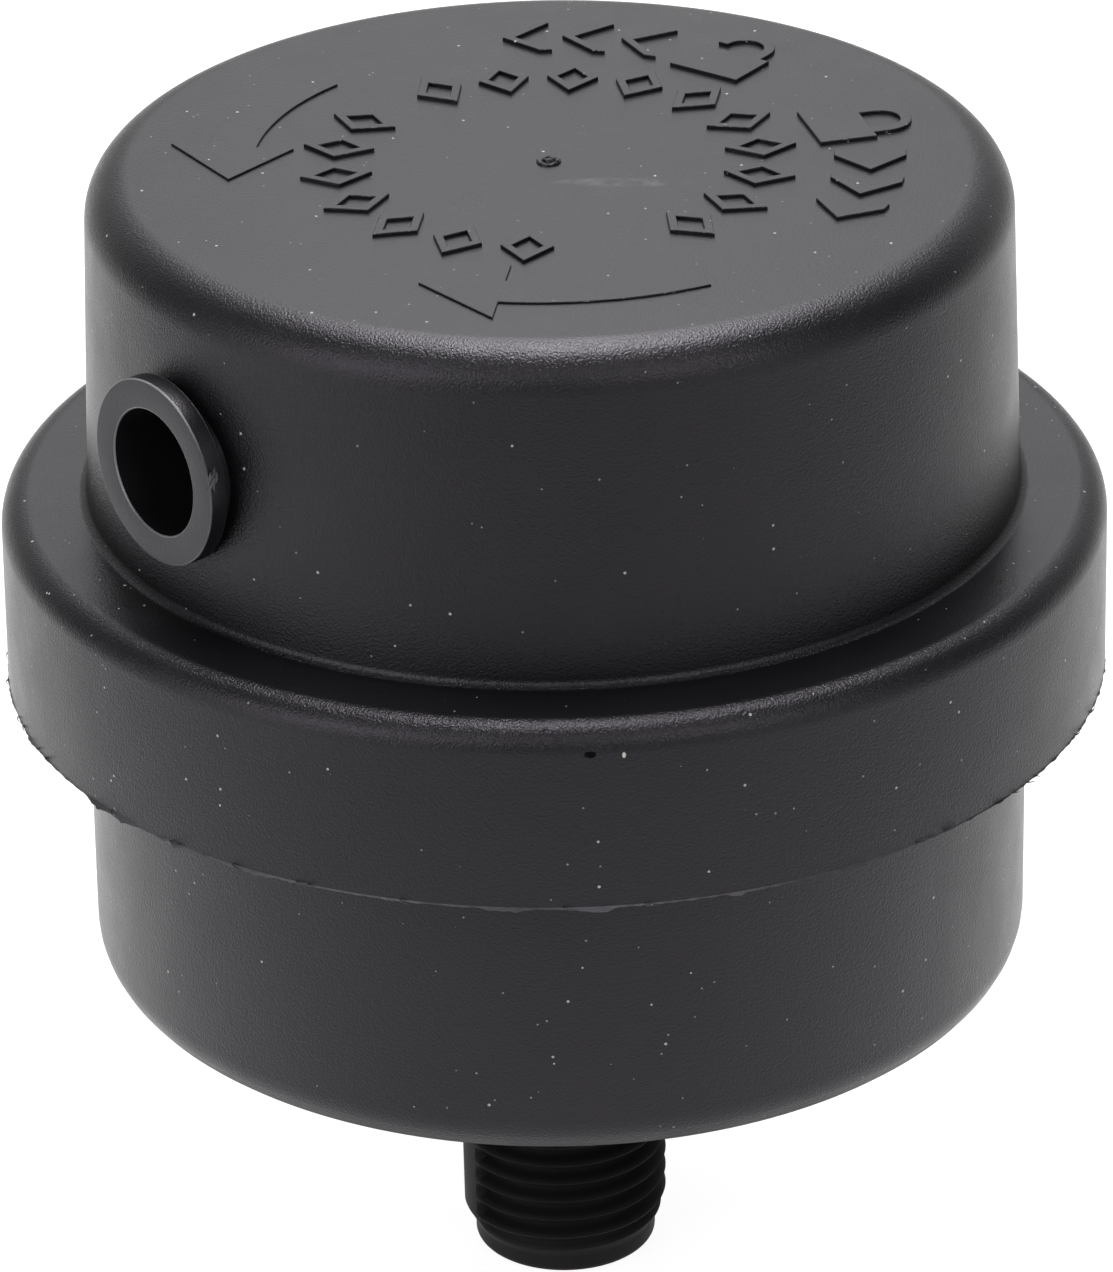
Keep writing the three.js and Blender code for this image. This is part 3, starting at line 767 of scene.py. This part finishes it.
def raise_outlines(name, outlines, height):
    """Flat-topped symbols that stand `height` proud of the lid's top."""
    curve = bpy.data.curves.new(name, "CURVE")
    curve.dimensions = "2D"
    curve.fill_mode = "BOTH"
    curve.bevel_depth = SYMBOL_BEVEL
    curve.bevel_resolution = 0
    curve.offset = -SYMBOL_BEVEL
    curve.extrude = (height + SYMBOL_SUNK) / 2 - SYMBOL_BEVEL
    for outline, hole in outlines:
        for loop in filter(None, (outline, hole)):
            spline = curve.splines.new("POLY")
            spline.points.add(len(loop) - 1)
            for point, (x, y) in zip(spline.points, loop):
                point.co = (x * MM, y * MM, 0, 1)
            spline.use_cyclic_u = True
    draft = bpy.data.objects.new(name, curve)
    bpy.context.collection.objects.link(draft)
    view = bpy.context.evaluated_depsgraph_get()
    mesh = bpy.data.meshes.new_from_object(draft.evaluated_get(view))
    bpy.data.objects.remove(draft)
    mesh.transform(Matrix.Translation((0, 0, LID_TOP + (height - SYMBOL_SUNK) / 2)))
    bm = bmesh.new()
    bm.from_mesh(mesh)
    bmesh.ops.remove_doubles(bm, verts=bm.verts, dist=0.001 * MM)
    bm.to_mesh(mesh)
    bm.free()
    smooth(mesh, sharp_degrees=25)
    fit(new_object(name, mesh), "lid", "housing_plastic", HOUSING)


def make_symbols():
    """The low arrows, and the higher padlocks, chevrons and diamonds, on the lid's top."""
    raise_outlines("lid_raised_arrows", arrow_outlines(), ARROW_HEIGHT)
    raise_outlines("lid_raised_symbols", symbol_outlines(), SYMBOL_HEIGHT)


def make_gate():
    """The stub left at the lid's centre by the mould's gate: a low crater with a torn lip."""
    rng = random.Random(4)
    gate = turned("lid_gate_stub", [
        (0, LID_TOP - 0.2 * MM, 0),
        (0.8 * MM, LID_TOP - 0.2 * MM, 0),
        (0.72 * MM, LID_TOP + 0.12 * MM, 0.08 * MM),
        (0.42 * MM, LID_TOP + 0.1 * MM, 0.05 * MM),
        (0.28 * MM, LID_TOP + 0.24 * MM, 0.06 * MM),
        (0, LID_TOP + 0.18 * MM, 0),
    ], closed=False, sides=24)
    for vertex in gate.data.vertices:
        if vertex.co.z > LID_TOP + 0.05 * MM:
            vertex.co += Vector((rng.uniform(-1, 1), rng.uniform(-1, 1), 0)) * 0.05 * MM
    fit(gate, "lid", "housing_plastic", HOUSING)


# ------------------------------------------------------------------ inlet


def make_inlet():
    """The inlet's flanged tube, with a lighter colour along its rounded edges as a painted highlight."""
    depth = INLET_HI.x - INLET_FACE_X
    tube = turned("inlet_tube_insert", [
        (INLET_BORE, 0, 0.12 * MM),
        (INLET_FLANGE_RADIUS, 0, 0.11 * MM),
        (INLET_FLANGE_RADIUS, INLET_FLANGE_BACK, 0.09 * MM),
        (INLET_TUBE_RADIUS, INLET_FLANGE_BACK, 0),
        (INLET_TUBE_RADIUS, depth, 0.3 * MM),
        (INLET_BORE, depth, 0.3 * MM),
    ], sides=128)
    rounded_edges = [face.index for face in tube.data.polygons if 0.2 < abs(face.normal.z) < 0.98]
    lay_along_inlet(tube)
    fit(tube, "lid", "inlet_plastic", INLET, "inlet_tube")
    # Painted highlight: the rounded edges get the lighter plastic.
    tube.data.materials.append(TRIMMED_AND_GLINT)
    for index in rounded_edges:
        tube.data.polygons[index].material_index = 1


def make_inlet_burr():
    """The trimmed gate mark on the rim of the inlet's flange."""
    rng = random.Random(9)
    half_size = Matrix.Diagonal((0.24, 0.2, 0.95))

    def build(bm):
        bmesh.ops.create_icosphere(bm, subdivisions=3, radius=1)
        for vertex in bm.verts:
            lump = 1 + 0.4 * rng.uniform(-1, 1)
            vertex.co = half_size @ vertex.co * lump * MM

    burr = object_from("inlet_gate_mark", build)
    angle = math.radians(12)
    rim = INLET_FLANGE_RADIUS - 0.08 * MM
    spot = (INLET_FACE_X + 0.28 * MM, -rim * math.cos(angle), INLET_HEIGHT + rim * math.sin(angle))
    burr.data.transform(Matrix.Translation(spot) @ Matrix.Rotation(angle, 4, "X"))
    fit(burr, "lid", "inlet_plastic", TRIMMED_AND_GLINT)


# ------------------------------------------------------------------ base

THREAD_SAMPLES = 10  # rows in one pitch of the thread


def land_share(degrees):
    """1 on the plain land that interrupts the thread, and 0 a little way outside it."""
    off = degrees_apart(degrees, LAND_MIDDLE)
    return min(max((LAND_HALF_SPAN - off) / LAND_BLEND + 0.5, 0), 1)


def thread_radius(z, phase, degrees):
    """The stem's radius at a height, at a phase of the pitch (0 in the root) and in a direction."""
    share = (z - LEAD_TOP) / -LEAD_TOP
    crest = CREST_END_RADIUS + (CREST_TOP_RADIUS - CREST_END_RADIUS) * share
    root = max(crest - THREAD_DEPTH, LEAD_RADIUS - 0.1 * (z - LEAD_TOP))
    grown = min((z - LEAD_TOP) / RUN_IN, 1)
    tip = root + (crest - root) * min(grown, (THREAD_TOP - z) / RUN_OUT)
    rounded_ridge = 0.5 - 0.5 * math.cos(2 * math.pi * phase)
    land = land_share(degrees)
    return root + (tip - root) * (rounded_ridge * (1 - land) + land)


def thread_rings(bm):
    """The threaded stretch of the stem: rows of points that climb one pitch in a turn."""
    rows = math.ceil((THREAD_TOP - LEAD_TOP) / THREAD_PITCH + 1) * THREAD_SAMPLES
    rings = []
    for row in range(rows + 1):
        ring = []
        for i in range(BASE_SIDES + 1):
            turn = i / BASE_SIDES
            z = LEAD_TOP + THREAD_PITCH * (row / THREAD_SAMPLES - 1 + turn)
            z = min(max(z, LEAD_TOP), THREAD_TOP)
            degrees = THREAD_START + 360 * turn
            radius = thread_radius(z, row / THREAD_SAMPLES % 1, degrees)
            angle = math.radians(degrees)
            ring.append(bm.verts.new((radius * math.cos(angle), radius * math.sin(angle), z)))
        rings.append(ring)
    for lower, upper in zip(rings, rings[1:]):
        for i in range(BASE_SIDES):
            bm.faces.new((lower[i], lower[i + 1], upper[i + 1], upper[i]))
    bmesh.ops.remove_doubles(bm, verts=bm.verts, dist=0.0005 * MM)


def base_outline():
    """The outlines below the thread, from the bore down and out, and above it, up and back in."""
    inner = BASE_RADIUS - BASE_WALL
    root_top = CREST_TOP_RADIUS - THREAD_DEPTH
    root_share = THREAD_TOP / LEAD_TOP
    root_at_top = root_top + (CREST_END_RADIUS - CREST_TOP_RADIUS) * root_share
    below = rounded([
        (OUTLET_RADIUS, SPIGOT_TOP, 0.3 * MM),
        (OUTLET_RADIUS, STEM_END, 0.3 * MM),
        (LEAD_RADIUS, STEM_END, 0.5 * MM),
        (LEAD_RADIUS, LEAD_TOP, 0),
    ], closed=False)
    above = rounded([
        (root_at_top, THREAD_TOP, 0),
        (root_top, 0, 0.3 * MM),
        (BASE_RADIUS, 0, BASE_ROUNDING),
        (BASE_RADIUS, BASE_RIM, 0.25 * MM),
        (inner, BASE_RIM, 0.25 * MM),
        (inner, BASE_FLOOR, 1.5 * MM),
        (SEAT_RADIUS, BASE_FLOOR, 0.3 * MM),
        (SEAT_RADIUS, SEAT_TOP, 0.2 * MM),
        (SPIGOT_RADIUS, SEAT_TOP, 0.3 * MM),
        (SPIGOT_RADIUS, SPIGOT_TOP, 0.6 * MM),
        (OUTLET_RADIUS, SPIGOT_TOP, 0),
    ], closed=False)
    return below, above


def base_body(bm):
    """The base's cup and stem, with the thread welded in between its two turned stretches."""
    thread_rings(bm)
    below, above = base_outline()
    above[-1] = below[0]
    revolve(bm, below, closed=False, sides=BASE_SIDES)
    revolve(bm, above, closed=False, sides=BASE_SIDES)
    bmesh.ops.remove_doubles(bm, verts=bm.verts, dist=0.002 * MM)


def lug_stop(bm, inner, outer, middle):
    """The block that the lid's lug comes up against when the lid is closed."""
    bottom = SKIRT_BOTTOM + 0.8 * MM
    top = LID_LUG_BOTTOM + LUG_THICKNESS + 1.2 * MM
    corners = [(inner, bottom), (outer, bottom), (outer, top), (inner, top)]
    ends = (middle - LUG_HALF_SPAN - 4, middle - LUG_HALF_SPAN - 0.6)
    swept_bar(bm, [section_at(degrees, corners) for degrees in ends])


def make_base():
    """The base with its lugs, and a duller copy of its plastic on the stem as painted shade."""
    base = object_from("base_housing_moulding", base_body)
    inner, outer = BASE_RADIUS - 0.5 * MM, BASE_RADIUS + 2.1 * MM
    lug_bottom = LID_LUG_BOTTOM + LUG_THICKNESS + CLEARANCE
    for angle in LUG_ANGLES:
        combine(base, object_from("lug", lambda bm: lug(bm, inner, outer, angle, lug_bottom)), "UNION")
        combine(base, object_from("stop", lambda bm: lug_stop(bm, inner, outer, angle)), "UNION")
    fit(base, "base", "housing_plastic", HOUSING, "base_housing")
    # Painted shade: faces below the base's bottom get the duller stem copy.
    base.data.materials.append(STEM)
    for face in base.data.polygons:
        if face.center.z < -0.2 * MM:
            face.material_index = 1


# ------------------------------------------------------------------ seals and filter


def plain_ring(inner, outer, low, high, rounding):
    """The corners of a ring with a rectangular section."""
    corners = [(inner, low), (outer, low), (outer, high), (inner, high)]
    return [(r, z, rounding) for r, z in corners]


def make_seal():
    outer = SEAL_HI.x
    corners = plain_ring(outer - 1.7 * MM, outer, SEAL_LO.z, SEAL_HI.z, 0.35 * MM)
    seal = turned("lid_seal", corners, sides=192)
    fit(seal, "seal", "rubber", RUBBER, "lid_seal_ring")


def make_gasket():
    hole = SPIGOT_RADIUS + CLEARANCE
    corners = plain_ring(hole, GASKET_HI.x, GASKET_LO.z, GASKET_HI.z, 0.25 * MM)
    gasket = turned("filter_gasket", corners, sides=96)
    fit(gasket, "base", "rubber", RUBBER, "element_gasket")


def make_caps():
    """The filter's two pressed end caps, with rounded edges and a dished top."""
    sheet = FILTER_SHEET
    edge, hole = BOTTOM_CAP_HI.x, SPIGOT_RADIUS + CLEARANCE
    collar = 2 * MM
    low, lip = BOTTOM_CAP_LO.z, BOTTOM_CAP_HI.z
    bottom = turned("filter_cap_lower", [
        (hole, low, 0.5 * MM),
        (edge, low, 1.0 * MM),
        (edge, lip, 0.35 * MM),
        (edge - sheet, lip, 0.35 * MM),
        (edge - sheet, low + sheet, 0.3 * MM),
        (hole + sheet, low + sheet, 0.3 * MM),
        (hole + sheet, low + sheet + collar, 0.35 * MM),
        (hole, low + sheet + collar, 0.35 * MM),
    ], sides=128)
    fit(bottom, "base", "cap_steel", STEEL, "filter_bottom_cap")
    top, lip = TOP_CAP_HI.z, TOP_CAP_LO.z
    under = top - sheet
    dish = 10 * MM
    bead_in, bead_out = 15.5 * MM, 18.5 * MM
    top_cap = turned("filter_cap_upper", [
        (0, under, 0),
        (edge - sheet, under, 0.3 * MM),
        (edge - sheet, lip, 0.35 * MM),
        (edge, lip, 0.35 * MM),
        (edge, top, 1.0 * MM),
        (bead_out, top, 0.3 * MM),
        (bead_out - 0.3 * MM, top - 0.25 * MM, 0.3 * MM),
        (bead_in + 0.3 * MM, top - 0.25 * MM, 0.3 * MM),
        (bead_in, top, 0.3 * MM),
        (dish, top, 0.4 * MM),
        (dish - 0.5 * MM, top - 0.3 * MM, 0.3 * MM),
        (0, top - 0.3 * MM, 0),
    ], closed=False, sides=128)
    fit(top_cap, "base", "cap_steel", STEEL, "filter_top_cap")


def make_potting():
    """The glue beads, a little uneven where they set against the paper."""
    rng = random.Random(21)
    inner = CORE_HI.x + CLEARANCE
    beads = {"potting_lower": "filter_bottom_potting", "potting_upper": "filter_top_potting"}
    for name, node in beads.items():
        low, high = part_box(node)
        bead = turned(name, plain_ring(inner, high.x, low.z, high.z, 0.3 * MM), sides=96)
        for vertex in bead.data.vertices:
            vertex.co.z += rng.uniform(-0.03, 0.03) * MM
        fit(bead, "base", "potting", POTTING, node)


def make_core():
    """The perforated support tube, with rows of rounded windows."""
    outer, low, high = CORE_HI.x, CORE_LO.z, CORE_HI.z
    corners = plain_ring(outer - FILTER_SHEET, outer, low, high, 0.2 * MM)
    core = turned("filter_support_tube", corners, sides=120)
    rows, columns = 3, 5
    pitch = (high - low) / rows
    half_wide, half_tall, corner = 1.7 * MM, pitch / 2 - 1.1 * MM, 0.9 * MM
    window = rounded([
        (-half_wide, -half_tall, corner),
        (half_wide, -half_tall, corner),
        (half_wide, half_tall, corner),
        (-half_wide, half_tall, corner),
    ], closed=True, arc_step=30)
    reach = 1.5 * outer

    def build(bm):
        for row in range(rows):
            lift = Matrix.Translation((0, 0, low + pitch * (row + 0.5)))
            for column in range(columns):
                place = lift @ Matrix.Rotation(math.pi * column / columns, 4, "Z")
                ends = [[place @ Vector((x, y, z)) for y, z in window] for x in (-reach, reach)]
                swept_bar(bm, ends)

    tool = object_from("windows", build)
    combine(core, tool, "DIFFERENCE")
    fit(core, "base", "cap_steel", STEEL, "filter_core")


def make_media():
    """The pleated paper: a ring of sharp folds, each rounded over its crease."""
    fold = 0.35 * MM
    outer = MEDIA_HI.x - 0.3 * MM
    corners = []
    for i in range(2 * PLEATS):
        radius = PLEAT_INNER if i % 2 else outer
        angle = math.pi * i / PLEATS
        for side in (-1, 1):
            turn = angle + side * fold / radius
            corners.append((radius * math.cos(turn), radius * math.sin(turn), 0.3 * MM))
    line = rounded(corners, closed=True, arc_step=40)
    count = len(line)
    half = 0.2 * MM
    sides = []
    for i, point in enumerate(line):
        along = (line[(i + 1) % count] - line[i - 1]).normalized()
        sides.append((point, Vector((along.y, -along.x)) * half))
    rng = random.Random(33)
    waves = [rng.uniform(-0.12, 0.12) * MM for _ in range(2 * PLEATS)]
    levels = 9

    def build(bm):
        layers = []
        for level in range(levels):
            share = level / (levels - 1)
            z = MEDIA_LO.z + (MEDIA_HI.z - MEDIA_LO.z) * share
            bow = math.sin(math.pi * share)
            outline = []
            for i, (point, offset) in enumerate(sides):
                drift = waves[int(i * len(waves) / count)] * bow
                sideways = Vector((-point.y, point.x)).normalized() * drift
                middle = point + sideways
                pair = []
                for flip in (1, -1):
                    spot = middle + flip * offset
                    pair.append(bm.verts.new((spot.x, spot.y, z)))
                outline.append(pair)
            layers.append(outline)
        for i in range(count):
            k = (i + 1) % count
            for lower, upper in zip(layers, layers[1:]):
                bm.faces.new((lower[i][0], lower[k][0], upper[k][0], upper[i][0]))
                bm.faces.new((lower[k][1], lower[i][1], upper[i][1], upper[k][1]))
            for layer in (layers[0], layers[-1]):
                bm.faces.new((layer[i][0], layer[i][1], layer[k][1], layer[k][0]))

    media = object_from("filter_paper_pleats", build)
    fit(media, "base", "filter_paper", PAPER, "filter_media")


def make_foam():
    """The foam ring in the lid, with a cut-out for the inlet's tube."""
    corners = plain_ring(FOAM_INNER, FOAM_HI.x, FOAM_LO.z, FOAM_HI.z, 0.5 * MM)
    foam = turned("lid_foam_liner", corners, sides=192)
    start, end = FOAM_HI.x + 2 * MM, FOAM_INNER - 4 * MM
    radius = INLET_TUBE_RADIUS + CLEARANCE
    tool = inlet_rod("foam_hole", radius, -INLET_FACE_X - start, -INLET_FACE_X - end)
    combine(foam, tool, "DIFFERENCE")
    fit(foam, "lid", "foam", FOAM, "foam_liner")


def make_pad():
    pad = turned("filter_hold_down_pad", [
        (0, PAD_LO.z, 0),
        (PAD_HI.x, PAD_LO.z, 0.5 * MM),
        (PAD_HI.x, PAD_HI.z, 0.5 * MM),
        (0, PAD_HI.z, 0),
    ], closed=False, sides=96)
    fit(pad, "lid", "felt", FELT, "hold_down_pad")


make_lid()
make_flash()
make_symbols()
make_gate()
make_inlet()
make_inlet_burr()
make_base()
make_seal()
make_gasket()
make_caps()
make_potting()
make_core()
make_media()
make_foam()
make_pad()

# ------------------------------------------------------------------ floor and light


def towards(azimuth, elevation):
    """A direction as the camera sees it: azimuth 0 is behind the object, 90 to its right."""
    turn = math.radians(CAMERA_AZIMUTH - azimuth)
    rise = math.radians(elevation)
    level = math.cos(rise)
    return Vector((-math.sin(turn) * level, math.cos(turn) * level, math.sin(rise)))


def draw_floor(bm):
    bmesh.ops.create_grid(bm, x_segments=4, y_segments=4, size=3)


def make_stage():
    """A pale floor that glows as painted light, brightest in a wide soft pool behind the object and
    dimmer in front of it.
    """
    floor = object_from("floor", draw_floor)
    floor.location.z = CAD_BOX[0][2] - 0.2 * MM
    shader = Shader("floor")
    near = shader.ramp(shader.along(towards(0, 0)), -0.16, 0.03, 0.0, 1.0)
    near.node.interpolation_type = "SMOOTHSTEP"
    aside = shader.math("ABSOLUTE", shader.math("ADD", shader.along(towards(90, 0)), 0.035))
    middle = shader.ramp(aside, 0.05, 0.3, 1.0, 0.0)
    middle.node.interpolation_type = "SMOOTHSTEP"
    # Painted light: the floor's own glow, strong in the pool and weaker in front.
    pool = shader.ramp(shader.math("MULTIPLY", near, middle), 0, 1, 0.48, 0.95)
    shader.link(pool, shader.surface.inputs["Emission Strength"])
    paper = shader.ramp(shader.noise(30, 2), 0.3, 0.7)
    colour = shader.mix(paper, (0.24, 0.24, 0.24), (0.25, 0.25, 0.25))
    shader.constants(Emission_Color=(1, 1, 1, 1), Specular_IOR_Level=0.0)
    floor.data.materials.append(shader.finish(colour, shader.ramp(paper, 0, 1, 0.9, 1.0)))


SOFT_BOX_DISTANCE = 0.6  # from the origin


def soft_box(name, azimuth, elevation, half_angle, radiance):
    """A round soft box that points at the object, as wide and as bright as the object sees it."""
    radius = SOFT_BOX_DISTANCE * math.tan(math.radians(half_angle))
    data = bpy.data.lights.new(name, "AREA")
    data.shape = "DISK"
    data.size = 2 * radius
    data.energy = radiance * math.pi * math.pi * radius ** 2
    light = bpy.data.objects.new(name, data)
    light.location = towards(azimuth, elevation) * SOFT_BOX_DISTANCE
    light.rotation_mode = "QUATERNION"
    light.rotation_quaternion = (-light.location).to_track_quat("-Z", "Y")
    light.visible_camera = False
    bpy.context.collection.objects.link(light)


def make_light():
    """Soft boxes overhead, behind and at the sides, in a white room that is dimmer in front."""
    world = bpy.data.worlds.new("studio")
    world.use_nodes = True
    nodes, links = world.node_tree.nodes, world.node_tree.links
    backdrop = nodes.new("ShaderNodeVectorMath")
    backdrop.operation = "DOT_PRODUCT"
    backdrop.inputs[1].default_value = towards(0, 10)
    links.new(nodes.new("ShaderNodeTexCoord").outputs["Generated"], backdrop.inputs[0])
    strength = nodes.new("ShaderNodeMapRange")
    for name, number in zip(RANGE_SOCKETS, (0.3, 0.9, 0.12, 0.58)):
        strength.inputs[name].default_value = number
    links.new(backdrop.outputs["Value"], strength.inputs["Value"])
    sky = nodes["Background"]
    sky.inputs["Color"].default_value = (1, 1, 1, 1)
    links.new(strength.outputs["Result"], sky.inputs["Strength"])
    bpy.context.scene.world = world
    soft_box("overhead", 0, 81, 11, 22)
    soft_box("high_back", 0, 55, 10, 6.6)
    soft_box("high_right", 30, 70, 10, 3.8)
    soft_box("canopy", 0, 70, 27, 1)
    soft_box("low_back", 0, 30, 14, 0.7)
    soft_box("left", -125, 20, 22, 1.8)
    soft_box("right", 125, 15, 22, 0.4)
    soft_box("front_left", -150, 35, 15, 2.7)
    soft_box("front_right", 150, 35, 15, 3.1)


make_stage()
make_light()
bpy.context.scene.view_settings.view_transform = "Standard"
